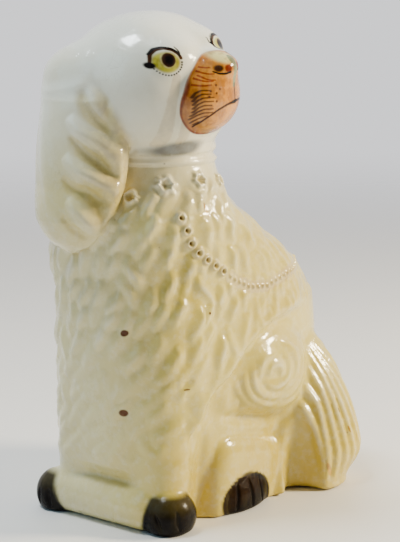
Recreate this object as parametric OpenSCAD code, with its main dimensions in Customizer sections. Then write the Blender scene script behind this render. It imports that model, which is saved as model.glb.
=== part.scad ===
// Seated spaniel figurine, hollow glazed earthenware.
// Display side faces -Y, chest towards -X, tail towards +X, standing on z = 0.
// The figure is modelled as the pressings and sprigs that are luted together:
// two half shells for the body, two for the head, a closing slab and applied parts.

/* [Size] */
// Height of the whole figure, all other sizes follow it
height = 305; // [200:5:400]
// Thickness of the pressed clay walls
wall = 5; // [4:0.5:7]

/* [Head] */
// Lateral half width of the skull
skull_w = 45; // [38:1:46]
// Turn of the face away from the display direction, towards the tail
face_yaw = 5; // [0:1:12]
// Sideways tilt of the head
face_roll = 10; // [0:1:14]
// Length of the hanging ears
ear_len = 121; // [110:1:128]
// Thickness of the hanging ears
ear_t = 15; // [12:1:18]
// Half width of the right ear at its broadest
ear_half = 34; // [28:1:36]

/* [Trimmings] */
// Radius of one chain bead
bead_r = 2.1; // [1.6:0.1:2.1]
// Radius of the collar's rounded band
collar_r = 3.2; // [2.5:0.1:4]
// Radius of the round locket
locket_r = 8; // [6:0.5:10]
// Radius of the vent hole in the base slab
vent_r = 6; // [4:0.5:9]

/* [Hidden] */

model_height = 305;               // height at which the numbers below are true
size = height / model_height;
footprint_shift = [-4.6, -10.8, 0];     // brings the footprint's centre to the origin

cream = [0.90, 0.86, 0.72];
slip_white = [0.93, 0.92, 0.86];
sponged_orange = [0.85, 0.45, 0.20];
paw_brown = [0.24, 0.17, 0.12];
worn_gilding = [0.70, 0.52, 0.18];

// Horizontal slices of the body: height, then front x, back x, centre y, half depth, squareness
slice_front = [[0, -64], [26, -64], [36, -76], [60, -78], [95, -80], [125, -81],
               [150, -82], [175, -84], [185, -87], [195, -80], [215, -69], [236, -65]];
slice_back = [[0, 94], [60, 102], [95, 106], [125, 100], [150, 82],
              [175, 40], [185, 27], [195, 11], [215, 6], [236, 2]];
slice_mid = [[0, 23], [60, 20], [95, 18], [195, 17], [215, 15], [236, 12]];
slice_half = [[0, 46], [60, 50], [95, 53], [185, 54], [195, 50], [215, 42], [236, 35]];
slice_square = [[0, 3.3], [60, 3.0], [125, 2.8], [150, 2.7], [195, 2.2], [236, 2.0]];
neck_top = 236;
smooth = 6;                       // reach over which neighbouring slices are averaged

head_c = [-40, 7, 261];
skull_depth = 46;
skull_tall = 44;

// One value of a slice table at height z, averaged with its surroundings
function at(table, z) = (lookup(z - smooth, table) + 2 * lookup(z, table) + lookup(z + smooth, table)) / 4;

// Point of the body's surface at angle a (0 is +X, 270 is the display side), moved out by d
function signed_pow(v, p) = sign(v) * pow(abs(v), p);
function skin(a, z, d = 0) =
    let (front = at(slice_front, z), back = at(slice_back, z), p = 2 / at(slice_square, z))
    [(front + back) / 2 + ((back - front) / 2 + d) * signed_pow(cos(a), p),
     at(slice_mid, z) + (at(slice_half, z) + d) * signed_pow(sin(a), p),
     z];

// A closed solid through rings that all have the same number of points
module loft(rings) {
    n = len(rings[0]);
    m = len(rings);
    polyhedron(
        points = [for (r = rings) for (p = r) p],
        faces = concat(
            [[for (j = [0:n - 1]) j]],
            [for (i = [0:m - 2]) for (j = [0:n - 1])
                [(i + 1) * n + j, (i + 1) * n + (j + 1) % n, i * n + (j + 1) % n, i * n + j]],
            [[for (j = [n - 1:-1:0]) (m - 1) * n + j]]));
}

// Half of the body as a wall between its skin and an inner skin
module body_half(from, to) {
    steps = 16;
    levels = [0, 10, 22, 30, 42, 60, 78, 95, 110, 125, 140, 155, 170, 185, 200, 215, neck_top];
    loft([for (z = levels) concat(
        [for (i = [0:steps]) skin(from + (to - from) * i / steps, z)],
        [for (i = [steps:-1:0]) skin(from + (to - from) * i / steps, z, -wall)])]);
}

// A pillow laid on the body's skin around angle a0, between two heights.
// spread(v) gives its half angle at the fraction v of its height, crest(v) how far it stands out.
function round_spread(v, half) = half * pow(sin(180 * v), 0.6);
function fan_spread(v, half) = half * (1.05 - v) * (0.75 + 0.5 * v);

module pillow(a0, zs, half, crest, lean = 0, fan = false) {
    across = 10;
    up = 12;
    function edge_angle(v, u) = a0 + lean * (v - 0.5)
        + (2 * u - 1) * (fan ? fan_spread(v, half) : round_spread(v, half));
    function rise(v, u) = 0.6 + crest * pow(sin(6 + 168 * u), 0.75)
        * (fan ? pow(cos(84 * v), 0.7) : pow(sin(6 + 168 * v), 0.75));
    loft([for (k = [0:up])
        let (v = fan ? 0.96 * k / up : 0.04 + 0.92 * k / up, z = zs[0] + (zs[1] - zs[0]) * v)
        concat(
            [for (i = [0:across]) let (u = i / across) skin(edge_angle(v, u), z, rise(v, u))],
            [for (i = [across:-1:0]) skin(edge_angle(v, i / across), z, 0.1)])]);
}

module ellipsoid(r, fn = 48) {
    scale(r) sphere(1, $fn = fn);
}

// Everything of the head is placed in its own frame: x to the dog's left, -y out of the face, z up
module in_head() {
    translate(head_c) rotate([0, 0, face_yaw]) rotate([0, -face_roll, 0]) children();
}

module skull(grow = 0) {
    ellipsoid([skull_w + grow, skull_depth + grow, skull_tall + grow]);
}

module below_neck() {
    translate([-200, -200, neck_top - 400]) cube(400);
}

// The head's wall, on the face side (-1) or the back side (1) of the parting plane
module head_half(side) {
    difference() {
        in_head() difference() {
            skull();
            skull(-wall);
            translate([-100, side > 0 ? -200 : 0, -100]) cube(200);
        }
        below_neck();
    }
}

module muzzle_solid(grow = 0) {
    translate([1, -42, -3]) ellipsoid([22 + grow, 17 + grow, 23 + grow]);
}

// The lower body as a plain solid, taken away from what is set against it
module body_foot() {
    translate([0, 0, -1]) linear_extrude(60)
        polygon([for (a = [0:10:350]) let (p = skin(a, 14, 0.2)) [p.x, p.y]]);
}

// A paw or foot: an egg that stands on the ground and is cut back where it meets the body
module paw(centre, radii) {
    difference() {
        translate(centre) ellipsoid(radii);
        translate([-200, -200, -400]) cube(400);
        body_foot();
    }
}

// A hanging ear as a leaf. Its inner side starts at x = inner(z) and bends round the head by bend(z)
module ear(inner, bend, y_mid, z_low, len, half_width, out) {
    rows = 15;
    arc = 12;
    loft([for (k = [0:rows])
        let (v = 0.015 + 0.97 * k / rows,
             z = z_low + len * v,
             half = half_width * pow(sin(180 * pow(v, 0.66)), 0.55),
             thick = ear_t * pow(sin(180 * pow(v, 0.72)), 0.5),
             y = y_mid + 5 * (1 - v),
             x = lookup(z, inner))
        concat(
            [for (i = [0:arc]) let (a = 180 * i / arc, c = cos(a))
                [x + out * (thick * sin(a) - pow(half * c, 2) * lookup(z, bend)), y - out * half * c, z]],
            [for (i = [arc - 1:-1:1]) let (a = 180 * i / arc, c = cos(a))
                [x - out * pow(half * c, 2) * lookup(z, bend), y - out * half * c, z]])]);
}

// The chain lies on the display flank: distance run along it gives x, and x gives its height
chain_x = [[0, -55], [11, -51], [18, -48], [28, -41], [51, -22], [62, -12],
           [76, 1], [92, 17], [109, 34], [130, 54], [143, 64]];
chain_z = [[-55, 189], [-51, 179], [-48, 172], [-41, 165], [-22, 153], [-12, 147],
           [1, 143], [17, 142.5], [34, 144.5], [54, 146], [64, 150]];
chain_step = 4.5;
chain_beads = 32;

function flank(x, z, d = 0) =
    let (front = at(slice_front, z), back = at(slice_back, z), n = at(slice_square, z),
         reach = abs(x - (front + back) / 2) / ((back - front) / 2))
    [x, at(slice_mid, z) - at(slice_half, z) * pow(1 - pow(reach, n), 1 / n) - d, z];

module body_front_shell() { color(cream) body_half(180, 360); }
module body_back_shell() { color(cream) body_half(0, 180); }

module base_slab() {
    color(slip_white) difference() {
        linear_extrude(wall) polygon([for (a = [0:10:350]) let (p = skin(a, 0, -wall - 0.1)) [p.x, p.y]]);
        translate([10, 13, -1]) cylinder(r = vent_r, h = wall + 2, $fn = 40);
    }
}

module front_apron() {
    color(cream) difference() {
        translate([-63, -20, 12.5]) rotate([-90, 0, 2]) cylinder(r = 14.5, h = 74, $fn = 64);
        translate([-200, -200, -400]) cube(400);
        body_foot();
    }
}

module head_face_shell() { color(cream) head_half(-1); }
module head_back_shell() { color(cream) head_half(1); }

module muzzle() {
    color(sponged_orange) in_head() difference() {
        muzzle_solid();
        skull(0.05);
    }
}

module nose() {
    color(slip_white) in_head() difference() {
        translate([0, -57, 10]) ellipsoid([9, 6, 7], 32);
        muzzle_solid(0.05);
    }
}

module right_ear() {
    color(cream) ear([[165, -85.5], [185, -89.5], [205, -86.5], [262, -86], [292, -78]],
        [[165, 1 / 160], [200, 1 / 140], [240, 1 / 92]], 18, 168, ear_len, ear_half, -1);
}

module left_ear() {
    color(cream) ear([[182, 31], [195, 15], [205, 11], [236, 7], [262, 6], [290, 0]],
        [[185, 1 / 130], [200, 1 / 110], [240, 1 / 92]], 22, 186, ear_len - 14, ear_half - 8, 1);
}

module band(z) {
    p = skin(0, z);
    q = skin(180, z);
    r = skin(90, z);
    major = 40;
    translate([(p.x + q.x) / 2, p.y, z])
        scale([((p.x - q.x) / 2 + 0.8 * collar_r) / major, (r.y - p.y + 0.8 * collar_r) / major, 1])
            rotate_extrude($fn = 96) translate([major, 0]) circle(collar_r, $fn = 24);
}

module collar() {
    color(slip_white) {
        band(226.3);
        band(219.7);
    }
}

module locket() {
    color(slip_white) translate(flank(-52, 206, -0.5)) rotate([80, 0, -24]) {
        cylinder(r = locket_r, h = 3.4, $fn = 48);
        translate([0, 0, 3.4]) cylinder(r1 = locket_r - 2, r2 = locket_r - 4, h = 1.2, $fn = 48);
    }
}

module chain() {
    color(worn_gilding) for (i = [0:chain_beads - 1]) {
        x = lookup(i * chain_step, chain_x);
        translate(flank(x, lookup(x, chain_z), bead_r * 0.7)) sphere(bead_r, $fn = 24);
    }
}

module left_forepaw() { color(paw_brown) paw([-58, -25, 9], [17, 16, 17]); }
module right_forepaw() { color(paw_brown) paw([-68, 59, 9], [14, 15, 16]); }
module left_hind_foot() { color(paw_brown) paw([4, -24, 5], [19, 12, 17]); }
module right_hind_foot() { color(paw_brown) paw([4, 67, 5], [19, 9, 15]); }
module left_haunch() { color(cream) pillow(284, [34, 124], 30, 13, 14); }
module right_haunch() { color(cream) pillow(76, [34, 120], 30, 7, -14); }
module tail() { color(cream) pillow(311, [0, 104], 32, 34, -6, true); }

scale(size) translate(footprint_shift) {
    body_front_shell();
    body_back_shell();
    base_slab();
    front_apron();
    head_face_shell();
    head_back_shell();
    muzzle();
    nose();
    right_ear();
    left_ear();
    collar();
    locket();
    chain();
    left_forepaw();
    right_forepaw();
    left_hind_foot();
    right_hind_foot();
    left_haunch();
    right_haunch();
    tail();
}
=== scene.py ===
"""Looks of the seated spaniel figurine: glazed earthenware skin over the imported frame.

The whole figure is one implicit surface, worked in millimetres in the modelling frame of part.scad.
It is meshed once, given its moulded fur relief, then parted into the pressings it is luted from.
"""
import math

import bpy
import numpy as np
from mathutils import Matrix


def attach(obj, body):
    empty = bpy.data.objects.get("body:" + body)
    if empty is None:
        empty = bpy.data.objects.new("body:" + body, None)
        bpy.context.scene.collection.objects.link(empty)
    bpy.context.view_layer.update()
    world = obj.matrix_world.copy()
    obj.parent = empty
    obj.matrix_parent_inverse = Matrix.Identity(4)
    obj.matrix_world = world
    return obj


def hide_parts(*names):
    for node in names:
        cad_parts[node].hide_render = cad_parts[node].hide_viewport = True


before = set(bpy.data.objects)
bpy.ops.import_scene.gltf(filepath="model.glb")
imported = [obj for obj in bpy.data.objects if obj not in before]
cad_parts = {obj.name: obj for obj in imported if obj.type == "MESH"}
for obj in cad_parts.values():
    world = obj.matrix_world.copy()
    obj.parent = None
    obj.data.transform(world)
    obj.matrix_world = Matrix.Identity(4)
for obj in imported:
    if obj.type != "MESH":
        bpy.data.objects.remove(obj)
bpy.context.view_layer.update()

import openvdb
from mathutils import Vector

MM = 0.001
SHIFT = np.array([-4.6, -10.8, 0.0])      # modelling frame to row frame, in mm
BODY = "root"

# ---------------------------------------------------------------- implicit shapes

# the plain body by height: x of its chest and rump, y of its middle, half its width, squareness
SLICE_FRONT = [(0, -64), (26, -64), (36, -76), (60, -78), (95, -80), (125, -81),
               (150, -82), (175, -84), (185, -87), (195, -80), (215, -69), (236, -65), (262, -60)]
SLICE_BACK = [(0, 94), (60, 103), (95, 109), (125, 106), (150, 84),
              (175, 40), (185, 27), (195, 11), (215, 6), (236, 2), (262, -4)]
SLICE_MID = [(0, 23), (60, 20), (95, 18), (125, 18), (165, 21), (195, 18), (215, 15), (236, 12), (262, 8)]
SLICE_HALF = [(0, 46), (60, 50), (95, 53), (125, 53), (165, 57.5), (185, 56), (195, 51), (215, 42),
              (236, 35), (262, 30)]
SLICE_SQUARE = [(0, 3.3), (60, 3.0), (125, 2.8), (150, 2.7), (195, 2.2), (236, 2.0)]
SLICE_REACH = 6.0
BODY_TOP = 256.0
WALL = 5.0                                # of the body, and the depth of the slab's well
WELL_GAP, WELL_LIFT = 0.25, 0.2
COLLAR_LOW, COLLAR_HIGH = 214.5, 229.5
PAW_ROUNDS, FACE_ROUNDS = 2, 2            # halvings of the mesh where there is fine paint or relief

HEAD_C = np.array([-40.0, 7.0, 261.0])
FACE_YAW, FACE_ROLL = 5, 10


def lookup(table, x):
    """The value that a table of (x, value) pairs gives at x."""
    return np.interp(x, *np.array(table, float).T)


def at(table, z):
    """A slice table's value at height z, averaged over neighbouring heights."""
    return (lookup(table, z - SLICE_REACH) + 2 * lookup(table, z) + lookup(table, z + SLICE_REACH)) / 4


def skin(a, z):
    """Points of the body's plain surface at angle a (degrees) and height z."""
    a = np.radians(a)
    front, back, p = at(SLICE_FRONT, z), at(SLICE_BACK, z), 2 / at(SLICE_SQUARE, z)
    c, s = np.cos(a), np.sin(a)
    x = (front + back) / 2 + (back - front) / 2 * np.sign(c) * np.abs(c) ** p
    y = at(SLICE_MID, z) + at(SLICE_HALF, z) * np.sign(s) * np.abs(s) ** p
    return np.stack([x, y, z + 0 * x], -1)


def flank(x, z):
    """Points of the plain display flank at given x and z."""
    front, back, n = at(SLICE_FRONT, z), at(SLICE_BACK, z), at(SLICE_SQUARE, z)
    reach = np.clip(np.abs(x - (front + back) / 2) / ((back - front) / 2), 0, 1)
    y = at(SLICE_MID, z) - at(SLICE_HALF, z) * (1 - reach ** n) ** (1 / n)
    return np.stack([x + 0 * z, y, z + 0 * x], -1)


def smoothstep(lo, hi, x):
    """Rises smoothly from 0 at lo to 1 at hi; lo may be the larger."""
    t = np.clip((x - lo) / (hi - lo), 0, 1)
    return t * t * (3 - 2 * t)


def smin(a, b, k):
    """The smaller of two distances, blended over a radius k."""
    h = np.clip(0.5 + 0.5 * (b - a) / k, 0, 1)
    return b * (1 - h) + a * h - k * h * (1 - h)


def smax(a, b, k):
    return -smin(-a, -b, k)


def rotation(yaw, roll):
    """Rotation matrix: roll about y, then yaw about z, in degrees."""
    z, y = math.radians(yaw), math.radians(roll)
    rz = np.array([[math.cos(z), -math.sin(z), 0], [math.sin(z), math.cos(z), 0], [0, 0, 1]])
    ry = np.array([[math.cos(y), 0, math.sin(y)], [0, 1, 0], [-math.sin(y), 0, math.cos(y)]])
    return rz @ ry


HEAD_R = rotation(FACE_YAW, -FACE_ROLL)


def head_frame(p):
    """Head coordinates: x to the dog's left, -y out of the face, z up."""
    return (p - HEAD_C) @ HEAD_R


def from_head(q):
    return HEAD_C + np.asarray(q, float) @ HEAD_R.T


def ellipsoid(centre, radii, rot=None, n=2.0):
    """A distance field and its box; n above 2 squares the ellipsoid off."""
    centre, radii = np.array(centre, float), np.array(radii, float)

    def f(p):
        q = (p - centre) if rot is None else (p - centre) @ rot
        q = q / radii
        if n == 2.0:
            k0 = np.sqrt((q * q).sum(1))
            k1 = np.sqrt(((q / radii) ** 2).sum(1)) + 1e-9
            return k0 * (k0 - 1) / k1
        k0 = (np.abs(q) ** n).sum(1) ** (1 / n)
        return (k0 - 1) * radii.min()
    reach = radii if rot is None else radii.max()
    return f, (centre - reach, centre + reach)


def capsule(a, b, ra, rb):
    a, b = np.array(a, float), np.array(b, float)
    ab = b - a

    def f(p):
        t = np.clip(((p - a) @ ab) / (ab @ ab), 0, 1)
        return np.linalg.norm(p - a - t[:, None] * ab, axis=1) - (ra + (rb - ra) * t)
    r = max(ra, rb)
    return f, (np.minimum(a, b) - r, np.maximum(a, b) + r)


def plain_side(p):
    """Distance to the upright wall of the plain body."""
    x, y, z = p.T
    zc = np.clip(z, 0, BODY_TOP)
    front, back, n = at(SLICE_FRONT, zc), at(SLICE_BACK, zc), at(SLICE_SQUARE, zc)
    xc, a = (front + back) / 2, (back - front) / 2
    yc, b = at(SLICE_MID, zc), at(SLICE_HALF, zc)
    q = (np.abs((x - xc) / a) ** n + np.abs((y - yc) / b) ** n) ** (1 / n) + 1e-6
    return (1 - 1 / q) * np.hypot(x - xc, y - yc)


def body_shape():
    def f(p):
        return smax(plain_side(p), p[:, 2] - BODY_TOP, 10.0)
    return f, (np.array([-100.0, -45, -4]), np.array([115.0, 85, 262]))


def ear_shape(inner, bend, y_mid, z_low, length, half_width, thick, out):
    """A hanging leaf; inner gives the x of its inner side by height, bend how it wraps the head."""

    def f(p):
        x, y, z = p.T
        v = np.clip((z - z_low) / length, 0.0, 1.0)
        beyond = np.abs(z - (z_low + np.clip(z - z_low, 1.5, length - 1.5)))
        vv = np.clip(v, 0.012, 0.988)
        half = half_width * np.sin(np.pi * vv ** 0.85) ** 0.4
        t = thick * np.sin(np.pi * vv ** 0.72) ** 0.5
        dy = y - (y_mid + 5 * (1 - v))
        dx = (x - lookup(inner, z)) * out + dy * dy * lookup(bend, z)
        q = np.sqrt((dy / half) ** 2 + (dx / t) ** 2)
        return (q - 1) * np.minimum(half, t) + beyond
    sides = [x for _, x in inner]
    lo = np.array([min(sides) - 30, y_mid - half_width - 8, z_low - 6])
    hi = np.array([max(sides) + 30, y_mid + half_width + 12, z_low + length + 6])
    return f, (lo, hi)


def in_head(centre, radii, n=2.0):
    """An ellipsoid placed in head coordinates."""
    return ellipsoid(from_head(centre), radii, HEAD_R, n)


TAIL_TOP, TAIL_ANGLE = 112.0, math.radians(-47)


def fan_tail():
    """The tail, laid round the rump's display corner: a fan that widens towards the ground."""
    co, si = math.cos(TAIL_ANGLE), math.sin(TAIL_ANGLE)

    def f(p):
        x, y, z = p[:, 0] - 62.0, p[:, 1] + 14.0, p[:, 2]
        u = x * co + y * si       # outwards
        w = -x * si + y * co      # along the rump
        v = np.clip(z / TAIL_TOP, 0, 1)
        lean = 10 * v
        half = 30 * (1 - v) ** 0.55 + 5
        depth = (55 * (1 - v ** 1.6) ** 0.6 + 3) * (1 - 0.2 * smoothstep(26, 2, z))
        q = np.sqrt(((w - lean) / half) ** 2 + (u / depth) ** 2)
        d = (q - 1) * np.minimum(half, depth)
        return smax(smax(d, -z, 3.0), z - TAIL_TOP, 6)
    return f, (np.array([20.0, -62, -3]), np.array([125.0, 50, 118]))


# (name, field, blend radius); later shapes are blended onto the earlier ones of their group
BODY_SHAPES = [
    ("body", body_shape(), 0),
    ("body", capsule([-46, -12, 128], [-52, -13, 26], 21, 18), 9),
    ("body", capsule([-54, 46, 118], [-57, 45, 26], 17, 16), 9),
    ("body", ellipsoid([7, 15.5, 11], [36, 50, 37], rotation(0, 13), 5.5), 2.0),
    ("front_apron", capsule([-63, -10, 12.8], [-65, 50, 12.8], 14.2, 14.2), 2.5),
    ("left_haunch", ellipsoid([29, -15, 85], [45, 27.5, 36], rotation(-4, 18), 2.3), 2.5),
    ("right_haunch", ellipsoid([33, 52, 86], [41, 24, 37], rotation(4, 18), 2.5), 3),
    ("tail", fan_tail(), 4),
    ("left_forepaw", ellipsoid([-57, -24, 9.5], [17, 16, 16]), 3),
    ("right_forepaw", ellipsoid([-68, 58, 9.5], [13, 14.5, 15.5]), 3),
    ("left_hind_foot", ellipsoid([4, -28, 6.0], [23, 11, 16.5]), 2),
    ("right_hind_foot", ellipsoid([8, 67.5, 5.5], [22, 8.5, 14.5]), 2),
]
# (field, blend radius) of what is pressed back into the body
HOLLOWS = [
    (ellipsoid([-22, -43, 64], [12, 15, 16]), 4),                           # between foreleg and haunch
    (ellipsoid([4, -46, 56.5], [38, 19, 6.5], rotation(0, 14)), 3.5),         # over the foot's ledge
    (ellipsoid([-14, 80, 64], [17, 12, 20]), 6),
    (ellipsoid([-30, -36, 24], [6.5, 13, 34]), 4),                          # behind the foreleg
    (ellipsoid([-30, 78, 24], [6.5, 11, 34]), 4),
    (ellipsoid([49, -50, 14], [11, 17, 46]), 7),                            # between hind foot and tail
]
HEAD_SHAPES = [
    ("head", in_head([0, 0, 0], [45.5, 46, 44], 2.25), 0),
    ("head", body_shape(), 12),
    ("head", in_head([0, -24, -15], [29, 22, 17]), 9),                     # jaw
    ("head", in_head([13, -30, 20], [14, 13, 11]), 8),                     # brow
    ("head", in_head([-13, -30, 20], [14, 13, 11]), 8),
    ("muzzle", in_head([0.5, -40, -2.5], [24.5, 18.5, 22.5], 2.1), 2.5),
    ("muzzle", in_head([4, -45, 10.5], [15, 14, 12]), 5),                 # bridge
    ("nose", in_head([4.5, -54.2, 12.5], [8.5, 6.0, 6.2]), 2.5),
    ("right_ear", ear_shape(
        [(165, -85.5), (185, -89.5), (205, -86.5), (255, -86.5), (292, -68)],
        [(165, 1 / 160), (200, 1 / 140), (240, 1 / 110)], 22.5, 168, 121, 35, 14, -1), 1.5),
    ("left_ear", ear_shape(
        [(182, 29), (195, 15), (205, 11), (236, 7), (262, 6), (290, -2)],
        [(185, 1 / 130), (200, 1 / 110), (240, 1 / 92)], 22, 186, 107, 26, 14, 1), 2.0),
    ("right_ear", in_head([-31, 24, 12], [20, 24, 19]), 8),                # ear roots
    ("left_ear", in_head([33, 5, 13], [14, 20, 16]), 10),
]


def combined(shapes, hollows, p):
    """Distance of every point to the blended group; the body also gets its sole and the slab's well."""
    d = np.full(len(p), 50.0)
    for _, (f, (lo, hi)), k in shapes:
        pad = k + 6
        near = np.all((p > lo - pad) & (p < hi + pad), axis=1)
        if near.any():
            v = f(p[near])
            d[near] = np.minimum(d[near], v) if k == 0 else smin(d[near], v, k)
    for (f, (lo, hi)), k in hollows:
        near = np.all((p > lo - k - 4) & (p < hi + k + 4), axis=1)
        if near.any():
            d[near] = smax(d[near], -f(p[near]), k)
    if shapes is BODY_SHAPES:
        d = smax(d, -p[:, 2], 2.0)
        low = p[:, 2] < WALL + 3
        if low.any():
            well = np.maximum(plain_side(p[low]) + WALL + WELL_GAP, p[low, 2] - WALL - WELL_LIFT)
            d[low] = np.maximum(d[low], -well)
    return d


def part_distances(shapes, names, p):
    """Distance of every point to each named part of a group, one column each."""
    out = np.full((len(p), len(names)), 60.0)
    for name, (f, _), _ in shapes:
        c = names.index(name)
        out[:, c] = np.minimum(out[:, c], f(p))
    return out


# ---------------------------------------------------------------- meshing

def mesh_group(shapes, hollows, lo, hi, step):
    """Triangles of a group's surface inside a box: vertices (mm) and faces."""
    lo, hi = np.array(lo, float), np.array(hi, float)
    n = np.ceil((hi - lo) / step).astype(int)
    axes = [lo[i] + step * np.arange(n[i]) for i in range(3)]
    grid = np.empty(n, np.float32)
    yy, zz = np.meshgrid(axes[1], axes[2], indexing="ij")
    slab = np.column_stack([np.zeros(yy.size), yy.ravel(), zz.ravel()])
    chunk = 12
    for i in range(0, n[0], chunk):
        xs = axes[0][i:i + chunk]
        p = np.concatenate([slab + [x, 0, 0] for x in xs])
        grid[i:i + chunk] = combined(shapes, hollows, p).reshape(len(xs), n[1], n[2])
    vol = openvdb.FloatGrid(50.0)
    vol.copyFromArray(grid)
    pts, tri, quads = vol.convertToPolygons(0.0, 0.0)
    v = lo + pts.astype(float) * step
    q = quads.astype(int)
    f = np.concatenate([q[:, [0, 1, 2]], q[:, [0, 2, 3]], tri.astype(int).reshape(-1, 3)])
    return v, f


def gradient(fn, p, h=0.25):
    return np.stack([fn(p + h * e) - fn(p - h * e) for e in np.eye(3)], 1) / (2 * h)


def settle(fn, v, rounds=3, limit=1.0):
    """Moves points onto the exact zero surface of fn, no further than limit per round."""
    for _ in range(rounds):
        g = gradient(fn, v)
        d = fn(v)
        step = -g * (d / np.maximum((g * g).sum(1), 0.05))[:, None]
        length = np.linalg.norm(step, axis=1)
        step *= np.minimum(1, limit / np.maximum(length, 1e-9))[:, None]
        v = v + step
    return v


def vertex_normals(v, f):
    of_faces = np.cross(v[f[:, 1]] - v[f[:, 0]], v[f[:, 2]] - v[f[:, 0]])
    n = np.zeros_like(v)
    for c in range(3):
        np.add.at(n, f[:, c], of_faces)
    return n / np.maximum(np.linalg.norm(n, axis=1, keepdims=True), 1e-12)


def face_edges(f):
    """Every edge once, as a sorted pair of corners, and the numbers of each face's three edges."""
    e = np.sort(np.concatenate([f[:, [0, 1]], f[:, [1, 2]], f[:, [2, 0]]]), axis=1)
    edges, back = np.unique(e, axis=0, return_inverse=True)
    return edges, back.reshape(3, -1).T


def refine(v, f, inside):
    """Halves every edge whose middle lies in a zone, keeping the mesh closed."""
    edges, back = face_edges(f)
    mid = (v[edges[:, 0]] + v[edges[:, 1]]) / 2
    cut = inside(mid)
    new_id = np.full(len(edges), -1)
    new_id[cut] = len(v) + np.arange(cut.sum())
    v = np.concatenate([v, mid[cut]])
    m = new_id[back]                      # per face: id of each edge's middle, or -1
    count = (m >= 0).sum(1)
    out = [f[count == 0]]
    three = count == 3
    a, b, c = f[three].T
    x, y, z = m[three].T
    out += [np.stack(t, 1) for t in ((a, x, z), (x, b, y), (z, y, c), (x, y, z))]
    for turn in range(3):
        ff, mm = np.roll(f, -turn, 1), np.roll(m, -turn, 1)
        one = (count == 1) & (mm[:, 0] >= 0)
        a, b, c = ff[one].T
        x = mm[one, 0]
        out += [np.stack([a, x, c], 1), np.stack([x, b, c], 1)]
        two = (count == 2) & (mm[:, 2] < 0)
        a, b, c = ff[two].T
        x, y = mm[two, 0], mm[two, 1]
        out += [np.stack([x, b, y], 1), np.stack([a, x, y], 1), np.stack([a, y, c], 1)]
    return v, np.concatenate(out)


class Skin:
    """A triangle mesh with per-vertex data that survives cutting."""

    def __init__(self, v, f, **data):
        self.v, self.f, self.data = v, f, data

    def cut(self, field):
        """(part where field < 0, the rest), split exactly along field = 0."""
        v, f = self.v, self.f
        s = field.copy()
        s[np.abs(s) < 1e-6] = 1e-6
        neg = s < 0
        edges, back = face_edges(f)
        crossing = neg[edges[:, 0]] != neg[edges[:, 1]]
        i, j = edges[crossing].T
        t = (s[i] / (s[i] - s[j]))[:, None]
        new_id = np.full(len(edges), -1)
        new_id[crossing] = len(v) + np.arange(crossing.sum())
        v2 = np.concatenate([v, v[i] * (1 - t) + v[j] * t])
        data = {}
        for k, d in self.data.items():
            w = t if d.ndim > 1 else t[:, 0]
            data[k] = np.concatenate([d, d[i] * (1 - w) + d[j] * w])
        m = new_id[back]
        side = neg[f].sum(1)
        inside, outside = [f[side == 3]], [f[side == 0]]
        for turn in range(3):
            ff, mm = np.roll(f, -turn, 1), np.roll(m, -turn, 1)
            lone_in = (side == 1) & neg[ff[:, 0]]
            lone_out = (side == 2) & ~neg[ff[:, 0]]
            for sel, apart, rest in ((lone_in, inside, outside), (lone_out, outside, inside)):
                a, b, c = ff[sel].T
                x, z = mm[sel, 0], mm[sel, 2]
                apart.append(np.stack([a, x, z], 1))
                rest += [np.stack([x, b, c], 1), np.stack([x, c, z], 1)]
        return tuple(Skin(v2, np.concatenate(g), **data).compact() for g in (inside, outside))

    def compact(self):
        """The same mesh without unused corners."""
        used = np.unique(self.f)
        new = np.full(len(self.v), -1)
        new[used] = np.arange(len(used))
        return Skin(self.v[used], new[self.f], **{k: d[used] for k, d in self.data.items()})


# ---------------------------------------------------------------- moulded relief

def resample(points, samples):
    """Points spread along a given line, the same number on each stretch."""
    pts = np.array(points, float)
    t = np.linspace(0, len(pts) - 1, samples)
    return np.stack([np.interp(t, range(len(pts)), column) for column in pts.T], 1)


def soften(line):
    """Averages the inner points of a line with their neighbours."""
    line[1:-1] = (line[:-2] + 2 * line[1:-1] + line[2:]) / 4
    return line


def nearest_on(line, q):
    """Distance of every q from a line, and where along it (0 to 1) the nearest point lies."""
    best, along = np.full(len(q), 1e9), np.zeros(len(q))
    for i, (a, b) in enumerate(zip(line, line[1:])):
        ab = b - a
        t = np.clip(((q - a) @ ab) / (ab @ ab), 0, 1)
        d = np.linalg.norm(q - a - t[:, None] * ab, axis=1)
        closer = d < best
        best[closer], along[closer] = d[closer], (i + t[closer]) / (len(line) - 1)
    return best, along


def strand(fn, points, width, height, samples=12):
    """A strand through given points, carried onto the surface: (points, width, height)."""
    return settle(fn, soften(resample(points, samples)), 8, 4.0), width, height


# locks of fur in mm: spacing, range of the bend, range of the height
BROAD_LOCKS = (11.0, (2.2, 3.6), (1.7, 2.7))
FINE_LOCKS = (7.5, (1.6, 2.6), (0.8, 1.3))
LOCK_POINTS = 10
FUR_TOP, FUR_END, FUR_LOW = 212.0, 40.0, 95.0    # below FUR_LOW the locks are weaker and closer


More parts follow.
